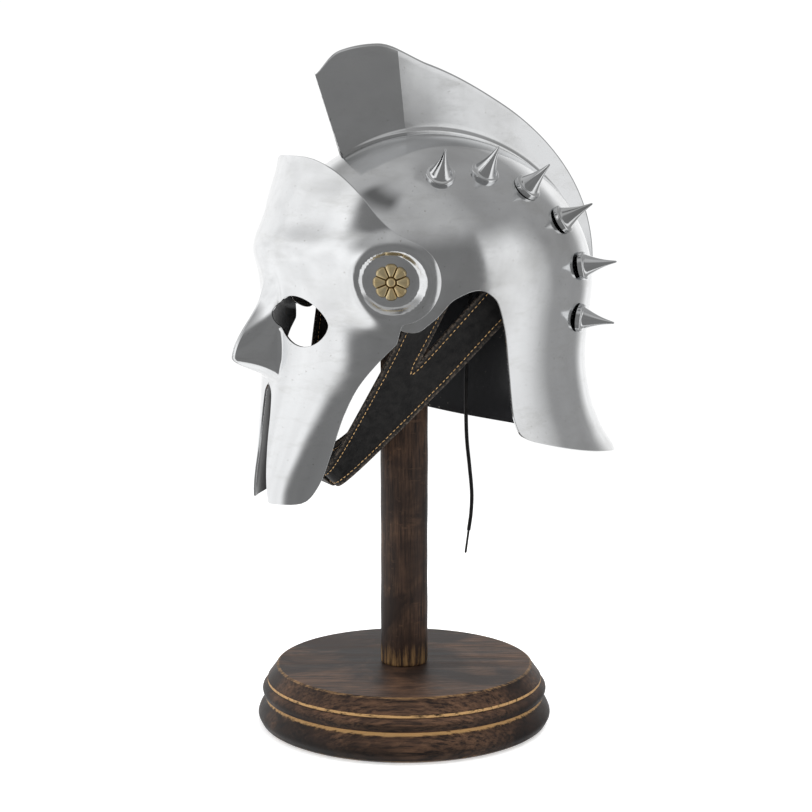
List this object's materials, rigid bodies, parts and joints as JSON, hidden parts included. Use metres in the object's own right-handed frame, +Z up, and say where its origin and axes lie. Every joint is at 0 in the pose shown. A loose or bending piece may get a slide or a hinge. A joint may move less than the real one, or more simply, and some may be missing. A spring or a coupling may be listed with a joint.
{
  "type": "gladiator helmet on a wooden stand",
  "caption": "Polished steel gladiator helmet with comb crest, studs, face guard, leather liner and chin strap, carried on a turned wooden stand.",
  "frame": {"origin": "centre of the stand's foot, on the surface it stands on", "axes": "+Z up along the post; the helmet faces -Y; the wearer's left is +X"},
  "size_m": [0.2, 0.2741, 0.4574],
  "materials": {
    "polished_steel": "mirror polished sheet steel with faint hand-polishing marks",
    "aged_brass": "satin, darker in the recesses",
    "black_leather": "black smooth grain, stitched in tan thread",
    "dark_wood": "dark stained and waxed, rubbed through on the turned edges"
  },
  "bodies": {
    "root": {"skull": "polished_steel", "face_guard": "polished_steel", "crest": "polished_steel", "liner": "black_leather", "rosette_left": "aged_brass", "rosette_right": "aged_brass", "stud_left_1": "polished_steel", "stud_left_2": "polished_steel", "stud_left_3": "polished_steel", "stud_left_4": "polished_steel", "stud_left_5": "polished_steel", "stud_left_6": "polished_steel", "stud_right_1": "polished_steel", "stud_right_2": "polished_steel", "stud_right_3": "polished_steel", "stud_right_4": "polished_steel", "stud_right_5": "polished_steel", "stud_right_6": "polished_steel", "chin_strap_left": "black_leather", "chin_strap_right": "black_leather", "chin_sleeve": "black_leather", "strap_tail": "black_leather", "lace": "black_leather", "lace_tip": "black_leather", "stand_base": "dark_wood", "stand_post": "dark_wood", "stand_rest": "dark_wood"}
  },
  "joints": []
}
